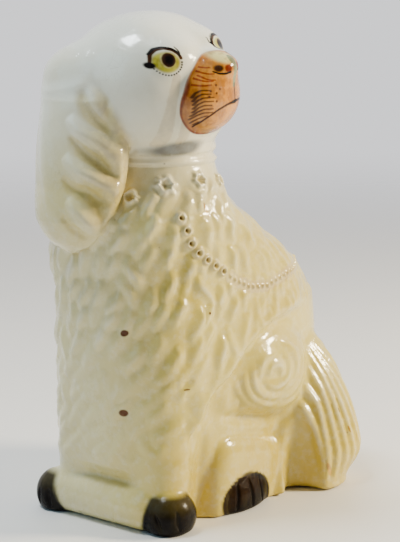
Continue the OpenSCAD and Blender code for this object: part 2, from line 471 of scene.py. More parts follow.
def fur_strands(fn):
    """Wavy locks that hang in rows: broad over chest and shoulder, fine over flank and back."""
    rng = np.random.default_rng(11)
    around, t = np.linspace(0, 360, 600), np.linspace(0, 1, LOCK_POINTS)
    paths = []
    z, row = FUR_TOP, 0
    while z > FUR_END:
        low = 1.0 if z > FUR_LOW else 0.5
        ring = skin(around, np.full(len(around), z))
        run = np.concatenate([[0], np.cumsum(np.linalg.norm(np.diff(ring, axis=0), axis=1))])
        s = 6.0 * (row % 2)
        while s < run[-1] - 4:
            x = np.interp(s, run, ring[:, 0])
            broad = x < -4 + 10 * math.sin(z / 20)
            gap, bends, heights = BROAD_LOCKS if broad else FINE_LOCKS
            length = rng.uniform(15, 22)
            bend = rng.uniform(*bends) * (1 if rng.random() < 0.92 else -1) / low ** 0.5
            dz = length * (0.5 - t) + rng.uniform(-7, 7)
            ds = bend * np.sin(2 * np.pi * (0.85 * t + 0.05)) + rng.uniform(-2.4, 2.4) * t
            height = rng.uniform(*heights) * low
            line = skin(np.interp((s + ds) % run[-1], run, around), np.clip(z + dz, 30, 213))
            paths.append((line, gap * rng.uniform(0.29, 0.36), height))
            s += gap * rng.uniform(0.85, 1.15)
        z -= 17.0 if z > FUR_LOW else 12.0
        row += 1
    every = settle(fn, np.concatenate([line for line, _, _ in paths]), 5, 3.0)
    return [(line, w, h) for line, (_, w, h) in zip(every.reshape(-1, LOCK_POINTS, 3), paths)]


# curls of the haunch: radius, first angle, last angle
CURLS = [(5, -60, 210), (11, -150, 60), (12.5, 80, 200), (18, 150, 290), (19, -60, 70),
         (25, 170, 280), (26, -70, 20), (32, 185, 265), (33, -80, -20), (39, 200, 262)]


def haunch_strands(fn, y):
    """Curls that wind round a haunch, set out at y and carried onto the surface."""
    lines = []
    for r, first, last in CURLS:
        a = np.radians(np.linspace(first, last, 9))
        rr = r * np.linspace(0.92, 1.1, 9)
        curl = np.stack([22 + 1.25 * rr * np.cos(a), np.full(9, y), 85 + 1.1 * rr * np.sin(a)], 1)
        lines.append(strand(fn, curl, 3.6, 2.3 - 0.025 * r, 16))
    return lines


def tail_strands(fn):
    """Locks that fan out from the root of the tail to the ground."""
    lines = []
    top = np.array([66, -18, 100])
    for a in np.radians(np.linspace(-112, 22, 13)):
        out = np.array([math.cos(a), math.sin(a), 0])
        foot = np.array([66, -16, 4]) + out * 52
        mid = (top + foot) / 2 + out * 14 + [0, 0, 6]
        lock = [top + out * 8, (top + mid) / 2 + out * 6, mid, (mid + foot) / 2 + out * 5, foot]
        lines.append(strand(fn, lock, 3.3, 2.4, 14))
    return lines


# the line in (x, z) where the shoulder's fur ends over the haunch
CREASE = [(-46, 58), (-38, 70), (-30, 79), (-16, 88), (-4, 101), (12, 111), (31, 118), (52, 121), (80, 122)]


def shoulder_step(p, n):
    """The shoulder's fur ends in a lip over the haunch, along one falling line on each flank."""
    s = (p[:, 2] - lookup(CREASE, p[:, 0])) * 0.8
    lip = smoothstep(-4.0, 3.5, s) * (0.25 + 0.75 * np.exp(-np.maximum(s, 0) / 26))
    lip *= smoothstep(75, 40, p[:, 0])
    under = np.exp(-((s + 4.0) / 3.2) ** 2) * smoothstep(60, 40, p[:, 0])
    return (6.0 * lip - 1.2 * under) * smoothstep(0.25, 0.7, np.abs(n[:, 1])) * smoothstep(-52, -40, p[:, 0])


# the furrows between the toes
TOE_LINES = [
    [(-76, -27, 16), (-77, -31, 8), (-75, -33, 1)], [(-66, -38, 17), (-67, -42, 8), (-65, -43, 1)],
    [(-83, 55, 16), (-84, 54, 8), (-82, 53, 1)], [(-82, 63, 15), (-83, 64, 8), (-81, 65, 1)],
    [(-6, -36, 19), (-8, -40, 9), (-9, -38, 1)], [(5, -37, 21), (5, -41, 9), (5, -39, 1)],
    [(16, -36, 19), (17, -40, 8), (18, -38, 1)],
    [(2, 77, 17), (1, 79, 9), (0, 78, 1)], [(14, 77, 17), (14, 79, 9), (14, 78, 1)],
]


def ridge_height(p, paths, power=2.0):
    """Height of the highest strand at every point, tapered towards strand ends."""
    h = np.zeros(len(p))
    for pts, width, height in paths:
        lo, hi = pts.min(0) - 2.2 * width, pts.max(0) + 2.2 * width
        close = np.flatnonzero(np.all((p > lo) & (p < hi), axis=1))
        if len(close):
            d, along = nearest_on(pts, p[close])
            taper = np.sin(np.pi * along) ** 0.6
            w = width * (0.55 + 0.45 * taper)
            h[close] = np.maximum(h[close], height * taper * np.exp(-(d / w) ** power))
    return h


# leaf-like locks of each ear, seen square on as (y, z) lines with a width and a height:
# the x they are set out at, the ridges, then the furrows between them
EAR_LOCKS = {
    "right_ear": (-100.0, [
        ([(4, 284), (-5, 276), (-9, 262), (-9, 250), (-8, 238), (-10, 226)], 4.6, 2.6),
        ([(8, 268), (3, 258), (-1, 250), (-4, 243)], 3.0, 1.6),
        ([(16, 246), (9, 239), (1, 234), (-6, 227), (-10, 215), (-11, 201)], 4.4, 3.6),
        ([(18, 224), (10, 217), (3, 213), (-5, 207), (-10, 198), (-7, 186)], 4.4, 3.8),
        ([(16, 199), (9, 192), (4, 185), (2, 177)], 3.6, 3.2),
        ([(-3, 200), (-5, 189), (-3, 178)], 3.0, 2.4),
        ([(40, 262), (37, 240), (34, 218), (30, 198), (24, 182)], 6.0, 1.2),
    ], [
        ([(12, 262), (5, 250), (-1, 242), (-8, 234)], 3.2, 2.0),
        ([(15, 236), (7, 227), (-2, 220), (-8, 212)], 3.6, 2.8),
        ([(20, 212), (13, 205), (4, 203), (-2, 196), (-3, 184)], 3.6, 2.8),
        ([(20, 190), (14, 182), (9, 175)], 2.8, 1.8),
        ([(0, 272), (-4, 262), (-4, 252)], 2.2, 1.2),
    ]),
    "left_ear": (22.0, [
        ([(12, 280), (8, 262), (2, 246), (-2, 228)], 4.6, 2.4),
        ([(28, 262), (20, 244), (8, 228), (2, 212)], 4.6, 2.8),
        ([(34, 240), (26, 222), (14, 208), (8, 196)], 4.4, 2.8),
    ], [
        ([(22, 272), (14, 252), (6, 236)], 3.2, 2.0),
        ([(30, 250), (22, 232), (10, 216)], 3.2, 2.0),
    ]),
}


def ear_strands(x, locks):
    """The ridges or furrows of an ear as strands in the plane x."""
    return [(np.column_stack([np.full(16, x), resample(line, 16)]), w, h) for line, w, h in locks]


def collar_bands(p):
    """Two soft bands round the neck, hollow between."""
    z = p[:, 2]
    return (1.1 * np.exp(-((z - 225.6) / 2.6) ** 2) + 1.3 * np.exp(-((z - 218.4) / 2.6) ** 2)
            - 0.5 * np.exp(-((z - 222.0) / 1.8) ** 2))


# the chain as moulded links: distance run along it gives x, and x gives its height
CHAIN_X = [(0, -55), (11, -51), (18, -48), (28, -41), (51, -22), (62, -12), (76, 1), (92, 17),
           (109, 34), (130, 54), (143, 64)]
CHAIN_Z = [(-55, 189), (-51, 179), (-48, 172), (-41, 165), (-22, 153), (-12, 147), (1, 141), (17, 139.5),
           (34, 143), (54, 146), (64, 150)]
CHAIN_LENGTH = 143.0
RING_RADIUS, BEAD_RADIUS, LINK_PITCH = 3.4, 1.9, 2.35
RINGED = 52.0               # the first links are open rings, the later ones small beads
FLOWERS = [(-57, 206.5), (-36, 208), (-16, 206), (-72, 200)]    # (x, z); the first is the locket
FLOWER_RADII = (5.8, 5.2, 4.4, 4.8)


def links(fn):
    """(centre, radius) of every link, on the surface."""
    out, run = [], 1.0
    while run < CHAIN_LENGTH:
        r = RING_RADIUS if run < RINGED else BEAD_RADIUS
        x = lookup(CHAIN_X, [run])
        out.append((settle(fn, flank(x, lookup(CHAIN_Z, x)), 5, 3.0)[0], r))
        run += LINK_PITCH * r
    return out


def rosettes(fn):
    """(centre, radius) of the locket and the flowers beside it."""
    x, z = np.array(FLOWERS, float).T
    return list(zip(settle(fn, flank(x, z), 5, 3.0), FLOWER_RADII))


def near(p, points, reach):
    """Distance to the nearest of a few points; far ones read as twice the reach."""
    d = np.full(len(p), 2.0 * reach)
    pts = np.array(points, float)
    box = np.flatnonzero(np.all((p > pts.min(0) - reach) & (p < pts.max(0) + reach), axis=1))
    for c in pts:
        d[box] = np.minimum(d[box], np.linalg.norm(p[box] - c, axis=1))
    return d


def link_relief(p, items):
    """Rings with sunken middles where the radius allows, else beads."""
    h = np.zeros(len(p))
    for c, r in items:
        d = np.linalg.norm(p - c, axis=1)
        if r == RING_RADIUS:
            h += 1.7 * np.exp(-((d - 0.62 * r) / (0.36 * r)) ** 2) - 1.3 * np.exp(-(d / (0.36 * r)) ** 2)
        else:
            h += 1.3 * np.exp(-(d / (0.7 * r)) ** 2)
    return h


def flower_relief(p, items):
    """Six-petalled rims round sunken middles."""
    h = np.zeros(len(p))
    for c, r in items:
        q = p - c
        d = np.linalg.norm(q, axis=1)
        close = d < 2.2 * r
        petal = 1 + 0.10 * np.cos(6 * np.arctan2(q[close, 2], q[close, 0]))
        dd = d[close] / (r * petal)
        h[close] += 2.0 * np.exp(-((dd - 0.68) / 0.30) ** 2) - 1.1 * np.exp(-(dd / 0.30) ** 2)
    return h


class Paint:
    """Colours brushed over the glaze, kept as one premultiplied colour and its cover per vertex."""

    def __init__(self, count):
        self.c, self.a = np.zeros((count, 3)), np.zeros(count)

    def lay(self, cover, color):
        """Brushes one colour over all, as thick as cover says."""
        m = np.clip(cover, 0, 1)
        self.c = self.c * (1 - m)[:, None] + np.array(color) * m[:, None]
        self.a = self.a * (1 - m) + m

    def stroke(self, xz, where, points, width, color, strength=1.0):
        """A brush stroke through (x, z) points; the width may be one number or (start, end)."""
        line = soften(resample(points, 4 * len(points)))
        w0, w1 = width if isinstance(width, tuple) else (width, width)
        close = np.flatnonzero(where & np.all((xz > line.min(0) - 3) & (xz < line.max(0) + 3), axis=1))
        d, along = nearest_on(line, xz[close])
        cover = np.zeros(len(xz))
        cover[close] = strength * smoothstep(0.35, -0.15, d - (w0 + (w1 - w0) * along) / 2)
        self.lay(cover, color)

    def dot(self, xz, where, centre, radii, color, soft=0.4, tilt=0.0):
        """An oval touch of the brush; tilt is in degrees."""
        c, sn = math.cos(math.radians(tilt)), math.sin(math.radians(tilt))
        q = xz - np.array(centre, float)
        q = np.stack([c * q[:, 0] + sn * q[:, 1], -sn * q[:, 0] + c * q[:, 1]], 1) / np.array(radii, float)
        d = (np.linalg.norm(q, axis=1) - 1) * min(radii)
        self.lay(where * smoothstep(soft, -soft, d), color)


def inside_curve(xz, points):
    """Signed distance to a closed smooth curve through points, negative inside."""
    pts = np.array(points, float)
    for _ in range(3):
        nxt = np.roll(pts, -1, 0)
        pts = np.stack([0.75 * pts + 0.25 * nxt, 0.25 * pts + 0.75 * nxt], 1).reshape(-1, 2)
    loop = np.vstack([pts, pts[:1]])
    d, _ = nearest_on(loop, xz)
    inside = np.zeros(len(xz), bool)
    for a, b in zip(loop, loop[1:]):
        over = (a[1] > xz[:, 1]) != (b[1] > xz[:, 1])
        with np.errstate(divide="ignore", invalid="ignore"):
            x = a[0] + (xz[:, 1] - a[1]) * (b[0] - a[0]) / (b[1] - a[1])
        inside ^= over & (xz[:, 0] < x)
    return np.where(inside, -d, d)


# the decorator's colours, a grey painted shade for under the jaw, and the outlines in (x, z) of the head
ORANGE, RUST, RUST_ORANGE = (0.62, 0.255, 0.028), (0.22, 0.030, 0.004), (0.38, 0.085, 0.006)
UMBER, BROWN, TAN_BROWN = (0.060, 0.022, 0.008), (0.10, 0.032, 0.010), (0.020, 0.010, 0.004)
BLACK, DARK, JAW_SHADE_GREY = (0.008, 0.006, 0.006), (0.016, 0.010, 0.006), (0.11, 0.12, 0.12)
YELLOW, PALE, WASH = (0.52, 0.48, 0.035), (0.70, 0.60, 0.24), (0.60, 0.45, 0.08)
SAGE, GILT, TEAR = (0.22, 0.25, 0.12), (0.55, 0.32, 0.015), (0.60, 0.46, 0.22)
SNOUT = [(1, 22.5), (-7.5, 21), (-14, 16), (-19, 11.5), (-22.5, 5.5), (-25, -3), (-25.3, -11.5),
         (-21, -19), (-14, -23.5), (0, -25), (14, -23.5), (21, -19), (25.3, -11.5), (25, -3),
         (22.5, 5.5), (19, 11.5), (15, 16), (9, 21)]
MOUTH = [(-18.9, -17.2), (-16.4, -13), (-10.4, -9.2), (-3, -7.5), (5, -7.4)]
FACE_MIDDLE = 5.0
EYE = [(-8.6, -1.2), (-5.4, 2.6), (-0.5, 5.6), (5, 5.2), (7.2, 0.6), (4.6, -4.8), (-0.6, -7.0), (-5.8, -5.4)]
LID = [(-8.2, 0.2), (-5.6, 4.2), (-2, 6.3), (1.8, 6.8), (5, 5.4), (7.2, 2.6), (7.5, 0.6)]
LASHES = [(-6.0, 4.4), (-2, 6.9), (2, 7.4), (5.4, 6.2), (7.6, 3.2)]
DOTS_UNDER_EYE = 15


def paint_eye(paint, xz, front, centre, side):
    """A staring eye; side is its width, negative when the nose lies towards -x of it."""
    cx, cz = centre
    at_eye = lambda pts: [(cx + side * x, cz + z) for x, z in pts]
    wide, turned = abs(side), 15 if side < 0 else -15
    pale = PALE if side > 0 else YELLOW
    paint.lay(front * 0.8 * smoothstep(0.8, -1.2, inside_curve(xz, at_eye(EYE))), pale)
    paint.dot(xz, front, at_eye([(-0.8, -0.9)])[0], (6.9 * wide, 5.6), YELLOW, 1.0)
    paint.dot(xz, front, (cx, cz + 0.3), (3.7 * wide, 4.3), pale, 0.3, turned)
    paint.dot(xz, front, (cx + 0.2, cz + 0.4), (3.4 * wide, 4.0), UMBER, 0.3, turned)
    paint.dot(xz, front, (cx + 0.3, cz + 0.4), (2.4 * wide, 3.0), BLACK, 0.8, turned)
    paint.stroke(xz, front, at_eye(LID), (0.9, 1.7), UMBER)
    paint.stroke(xz, front, at_eye(LASHES), (0.6, 1.2), BLACK)
    paint.stroke(xz, front, at_eye([(7.2, 2.2), (8.4, 4.2), (7.9, 6.6)]), (1.1, 0.4), BLACK)
    paint.dot(xz, front, at_eye([(-9.0, -1.4)])[0], (2.4 * wide, 1.9), BLACK, 0.5, -2 * turned)
    for i in range(DOTS_UNDER_EYE):
        a = math.radians(190 + 11.6 * i)
        paint.dot(xz, front, at_eye([(-0.6 + 8.0 * math.cos(a), -0.8 + 7.2 * math.sin(a))])[0],
                  ((0.40 + 0.03 * i) * wide, 0.38 + 0.02 * i), BLACK, 0.25)


def paint_face(v):
    """All that the decorator brushed onto the face, with a grey painted shade under the jaw, in head
    coordinates.
    """
    h = head_frame(v)
    xz, front = h[:, [0, 2]], h[:, 1] < -8.0
    paint = Paint(len(v))
    rng = np.random.default_rng(3)
    # painted shade: a grey smudge under the jaw, where shadow falls
    paint.dot(xz, front * 0.9, (-20, -30.5), (14.5, 4.6), JAW_SHADE_GREY, 1.6, -5)
    for x in (-30, -21):
        tear = [(x + 6, 12), (x + 2, 0), (x - 1, -14), (x - 1, -24)]
        paint.stroke(xz, front, tear, (4.0, 6.0), TEAR, 0.38)
    edge = inside_curve(xz, SNOUT)
    snout = front & (h[:, 1] < -22)
    paint.lay(snout * smoothstep(0.5, -0.5, edge), ORANGE)
    paint.lay(snout * 0.5 * smoothstep(-5.5, 0.0, edge) * (edge < 0.2), RUST_ORANGE)
    paint.lay(snout * 0.9 * smoothstep(0.8, 0.1, np.abs(edge + 0.4)) * smoothstep(11, 6, xz[:, 1]), RUST)
    for side in (1.0, -0.82):
        turn = lambda pts: [(FACE_MIDDLE + side * (x - FACE_MIDDLE), z) for x, z in pts]
        from_middle = -np.abs(xz[:, 0] - FACE_MIDDLE) / abs(side) + FACE_MIDDLE
        over_mouth = snout & (edge < -1.0) & (xz[:, 1] > lookup(MOUTH, from_middle) + 0.9)
        for i in range(9):
            z = 3.4 - 2.15 * i
            left = -21.9 + 0.05 * i + max(0, i - 6) * 0.9
            whisker = [(left, z - 3.0), (left + 1.3, z - 0.8), (left + 3.8, z + 0.3),
                       (left + 8.4 + rng.uniform(-1, 1.4), z - 0.5)]
            paint.stroke(xz, over_mouth, turn(whisker), (1.0, 0.6), UMBER, 0.85)
        for x, z, run, drop in [(-13.6, 17.0, 4.5, 2.2), (-15.2, 14.6, 6.5, 3.4), (-15.6, 11.4, 6.5, 3.6),
                                (-18.0, 10.4, 7.5, 3.0), (-20.2, 7.2, 8.0, 1.6)]:
            fold = [(x + a * run, z - b * drop) for a, b in ((0, 0), (0.3, 0.6), (0.65, 0.9), (1, 1))]
            paint.stroke(xz, over_mouth, turn(fold), (1.1, 0.5), RUST, 0.9)
        for x, z in [(-13.6, 2.4), (-15.0, -0.6), (-9.6, 5.0), (-10.4, 0.6), (-7.6, 2.4), (-11.0, -4.0)]:
            paint.dot(xz, snout, turn([(x, z)])[0], (0.7, 0.7), BROWN)
        paint.stroke(xz, snout, turn(MOUTH), (1.0, 1.5), UMBER)
        paint.dot(xz, snout, turn([(-5.4, 13.6)])[0], (2.4, 1.9), UMBER, 0.6, 10 * side)
        paint.dot(xz, snout, turn([(-0.2, 12.8)])[0], (2.2, 2.2), RUST, 0.5)
        under_nostril = turn([(-8.6, 12.4), (-6.2, 10.8), (-2.6, 10.0), (1.0, 10.4)])
        paint.stroke(xz, snout, under_nostril, (0.7, 1.2), BLACK)
    paint.dot(xz, snout, (1.5, 18.6), (6.2, 3.4), PALE, 1.2, -10)
    paint.stroke(xz, snout, [(4.8, 17), (5.6, 9), (5.0, 2.2)], (4.4, 2.8), SAGE, 0.95)
    paint.stroke(xz, snout, [(5.2, 3), (5.1, -2), (5.1, -7)], 0.9, UMBER)
    paint.dot(xz, snout, (4.4, -7.4), (3.6, 1.2), BLACK, 0.5)
    paint_eye(paint, xz, front, (-26.1, 21.8), 0.76)
    paint_eye(paint, xz, front, (17.2, 21.6), -1.12)
    return paint


# worn gilding and flaws left in the glaze: (x, y, z), radii along the body and up, tilt, colour
MARKS = [((-36.7, -33.8, 191.2), (1.1, 4.2), 12, GILT), ((-19.6, -29.5, 221.6), (0.7, 1.6), 0, GILT),
         ((65.5, -54, 14), (1.3, 4.6), 14, GILT), ((84, -50, 37), (0.6, 2.2), 14, GILT),
         ((-76.3, -7.2, 121), (2.2, 1.9), 35, BROWN), ((-74.9, -4.5, 72.2), (2.6, 2.2), 10, BROWN),
         ((-50.8, -33.4, 86.2), (1.9, 0.5), 0, BROWN), ((-35, -34.8, 130), (0.8, 0.8), 0, BROWN),
         ((79, -49, 50), (0.5, 1.6), 14, BROWN), ((-8, -36, 45), (0.6, 0.6), 0, BROWN)]


def paint_body(v, toes, items, dist, names):
    """Dark brush work on the paws, gilt left in the chain, marks."""
    paint = Paint(len(v))
    x, y, z = v.T
    for name, top, back in (("left_forepaw", 17, -45), ("right_forepaw", 18, -58)):
        paw = smoothstep(2.4, 0.6, dist[:, names.index(name)])
        paw *= smoothstep(back + 2.5, back - 2.5, x + 0.25 * (z - 8))
        paint.lay(paw * smoothstep(top + 8.5, top + 4.0, z) * 0.95, DARK)
        paint.lay(paw * smoothstep(top + 3, top - 7, z), BLACK)
    q = np.hypot((x - 4.5) / 23.0, (z - 5.5) / 17.0)
    rim = smoothstep(0.72, 0.92, q) * smoothstep(2, 14, x)
    for side in (-1, 1):
        foot = (side * (y - 20) > 40) * smoothstep(1.04, 0.97, q)
        paint.lay(foot, TAN_BROWN)
        paint.lay(foot * np.maximum(smoothstep(13, 5, z - 0.3 * (x - 5)), rim), BLACK)
    paint.lay(toes * (paint.a > 0.3) * 0.95, BLACK)
    for c, r in items:
        if r == RING_RADIUS:
            paint.lay(0.8 * smoothstep(1.5, 0.5, np.linalg.norm(v - c, axis=1)), BROWN)
    for i, (c, _) in enumerate(items[-14:]):
        if i % 3 != 1:
            paint.lay(0.75 * smoothstep(1.1, 0.3, np.linalg.norm(v - (c + [0.8, 0, -0.9]), axis=1)), BROWN)
    for c, radii, tilt, color in MARKS:
        d = v - np.array(c, float)
        run = -d[:, 1] if abs(c[0] + 75) < 6 else d[:, 0]      # marks on the chest run across it
        co, si = math.cos(math.radians(tilt)), math.sin(math.radians(tilt))
        q = np.hypot((co * run + si * d[:, 2]) / radii[0], (-si * run + co * d[:, 2]) / radii[1])
        paint.lay((np.linalg.norm(d, axis=1) < 12) * smoothstep(1.25, 0.85, q), color)
    return paint


BODY_STEP, HEAD_STEP = 1.5, 1.1           # grid steps in mm
HEAD_RELIEF = 1.4                         # the head's relief stands out more than its tables say
BODY_NAMES = ["body", "front_apron", "left_haunch", "right_haunch", "tail",
              "left_forepaw", "right_forepaw", "left_hind_foot", "right_hind_foot"]
HEAD_NAMES = ["head", "muzzle", "nose", "right_ear", "left_ear"]
FEET = BODY_NAMES[5:]


def build_body():
    """The body's skin with fur, curls, toes, chain and locket, and the distances that part it."""
    names = BODY_NAMES
    fn = lambda p: combined(BODY_SHAPES, HOLLOWS, p)
    v, f = mesh_group(BODY_SHAPES, HOLLOWS, (-106, -64, -4), (126, 86, 264), BODY_STEP)
    items, flowers = links(fn), rosettes(fn)
    link_places, flower_places = [c for c, _ in items], [c for c, _ in flowers]

    def detailed(p):
        foot = part_distances(BODY_SHAPES, names, p)[:, [names.index(k) for k in FEET]].min(1)
        return (((foot < 1.5) & (p[:, 2] > 0.5)) | (near(p, link_places, 6) < 5)
                | (near(p, flower_places, 11) < 10) | (near(p, [m[0] for m in MARKS], 8) < 7))
    v = settle(fn, v)
    for _ in range(PAW_ROUNDS):
        v, f = refine(v, f, detailed)
    v = settle(fn, v, 2)
    n = vertex_normals(v, f)
    dist = part_distances(BODY_SHAPES, names, v)
    col = lambda *k: dist[:, [names.index(i) for i in k]].min(1)
    off_feet = smoothstep(1.0, 5.0, np.minimum(col("front_apron", *FEET), 8.0))
    body_fur = ridge_height(v, fur_strands(fn))
    above = smoothstep(-2, 6, v[:, 2] - lookup(CREASE, v[:, 0]))
    low_flank = smoothstep(0.2, 0.6, np.abs(n[:, 1])) * smoothstep(-44, -34, v[:, 0])
    furry = (1 - low_flank * (1 - above)) * smoothstep(30, 46, v[:, 2])
    furry *= off_feet * smoothstep(COLLAR_LOW - 3, COLLAR_LOW - 12, v[:, 2])
    curls = np.maximum(ridge_height(v, haunch_strands(fn, -55.0)),
                       0.75 * ridge_height(v, haunch_strands(fn, 90.0)))
    on_haunch = smoothstep(4, 0, col("left_haunch", "right_haunch")) * (1 - above)
    tail = ridge_height(v, tail_strands(fn))
    on_tail = smoothstep(3, 0, col("tail")) * (1 - smoothstep(-1, 3, -col("left_haunch")))
    relief = ((body_fur - 0.7) * furry * (1 - on_tail) + (curls - 0.4) * on_haunch * (1 - on_tail)
              + (tail - 0.5) * on_tail) * smoothstep(0.5, 4, v[:, 2])
    toes = ridge_height(v, [strand(fn, q, 1.25, 1.0) for q in TOE_LINES])
    link_near = near(v, link_places, 9)
    calm = np.minimum(smoothstep(2.5, 6.5, link_near), smoothstep(5.0, 10.0, near(v, flower_places, 14)))
    relief = relief * calm + (link_relief(v, items) + flower_relief(v, flowers))
    paint = paint_body(v, toes, items, dist, names)
    step = shoulder_step(v, n) * off_feet * smoothstep(COLLAR_LOW, COLLAR_LOW - 14.0, v[:, 2])
    shift = (relief + step - 1.3 * toes) * smoothstep(COLLAR_LOW + 2.0, COLLAR_LOW - 0.5, v[:, 2])
    v = v + n * shift[:, None]
    v[:, 2] = np.maximum(v[:, 2], 0)
    return Skin(v, f, normal=vertex_normals(v, f), relief=relief, color=paint.c, cover=paint.a, dist=dist,
                chain=link_near - 4.0, locket=near(v, flower_places[:1], 20) - 7.5)


def build_head():
    """The head's skin down to the collar, with ear locks and the painted face."""
    names = HEAD_NAMES
    fn = lambda p: combined(HEAD_SHAPES, [], p)
    v, f = mesh_group(HEAD_SHAPES, [], (-112, -62, 160), (36, 66, 312), HEAD_STEP)
    v = settle(fn, v)

    def painted(p):
        h = head_frame(p)
        eyes = (np.hypot(np.abs(h[:, 0]) - 24, h[:, 2] - 21) < 13) & (h[:, 1] < -15)
        snout = (np.hypot(h[:, 0], h[:, 2]) < 29) & (h[:, 1] < -30)
        return eyes | snout
    for _ in range(FACE_ROUNDS):
        v, f = refine(v, f, painted)
    v = settle(fn, v, 2)
    n = vertex_normals(v, f)
    dist = part_distances(HEAD_SHAPES, names, v)
    relief = np.zeros(len(v))
    for side, name in ((-1, "right_ear"), (1, "left_ear")):
        on_ear = smoothstep(1.5, -1.0, dist[:, names.index(name)] - 0.5)
        x, ridges, furrows = EAR_LOCKS[name]
        flat = v.copy()
        flat[:, 0] = x
        locks = (0.85 * ridge_height(flat, ear_strands(x, ridges), 2.2)
                 - 0.85 * ridge_height(flat, ear_strands(x, furrows)) - 0.7)
        relief += on_ear * smoothstep(0.1, 0.5, side * n[:, 0]) * locks
    ears = dist[:, 3:].min(1)
    bands = HEAD_RELIEF * collar_bands(v) * smoothstep(0.5, 3.0, ears) * smoothstep(236, 230, v[:, 2])
    v = v + n * (HEAD_RELIEF * relief + bands)[:, None]
    paint = paint_face(v)
    wash = smoothstep(1.5, -1.0, dist[:, names.index("right_ear")]) * smoothstep(14, -6, v[:, 1])
    paint.lay(0.9 * wash * smoothstep(168, 200, v[:, 2]), WASH)
    hem = smoothstep(COLLAR_LOW + 4.8, COLLAR_LOW + 0.4, v[:, 2]) * smoothstep(0.5, 3.0, ears)
    v = v - n * (hem * np.maximum(plain_side(v) + 0.8, 0))[:, None]
    return Skin(v, f, normal=vertex_normals(v, f), relief=relief + 0.4 * bands, color=paint.c,
                cover=paint.a, dist=dist)


# ---------------------------------------------------------------- materials

class Nodes:
    """Short ways to add shader nodes to a tree and feed them."""

    def __init__(self, tree):
        self.nodes, self.link = tree.nodes, tree.links.new

    def add(self, kind, **inputs):
        n = self.nodes.new("ShaderNode" + kind)
        for key, value in inputs.items():
            self.feed(n.inputs[key], value)
        return n

    def feed(self, socket, value):
        """Gives a socket a number, a colour or another node's output."""
        if isinstance(value, tuple):
            socket.default_value = (*value, 1)
        elif isinstance(value, float):
            socket.default_value = value
        else:
            self.link(value, socket)

    def noise(self, place, scale, detail=3.0, rough=0.55):
        return self.add("TexNoise", Vector=place, Scale=scale, Detail=detail, Roughness=rough).outputs["Fac"]

    def ramp(self, value, lo, hi, to_lo=0.0, to_hi=1.0):
        n = self.add("MapRange")
        n.interpolation_type = "SMOOTHSTEP"
        for socket, v in zip(n.inputs, (value, lo, hi, to_lo, to_hi)):
            self.feed(socket, v)
        return n.outputs[0]

    def mix(self, fac, a, b, mode="MIX"):
        n = self.add("Mix")
        n.data_type, n.blend_type = "RGBA", mode
        for i, v in ((0, fac), (6, a), (7, b)):      # the factor and the colour pair of a mix node
            self.feed(n.inputs[i], v)
        return n.outputs[2]

    def calc(self, op, a, b=0.0):
        n = self.add("Math")
        n.operation = op
        self.feed(n.inputs[0], a)
        self.feed(n.inputs[1], b)
        return n.outputs[0]

    def vector(self, op, a):
        n = self.add("VectorMath")
        n.operation = op
        self.feed(n.inputs[0], a)
        return n


def new_material(name):
    """A node material: its name, a Nodes helper and its shader."""
    m = bpy.data.materials.new(name)
    m.use_nodes = True
    return m, Nodes(m.node_tree), m.node_tree.nodes["Principled BSDF"]


CRAZE_COLOR, SPECK_COLOR = (0.34, 0.25, 0.13), (0.10, 0.055, 0.03)
WORN_TINT, NONE = (0.66, 0.60, 0.52), (0.0, 0.0, 0.0)


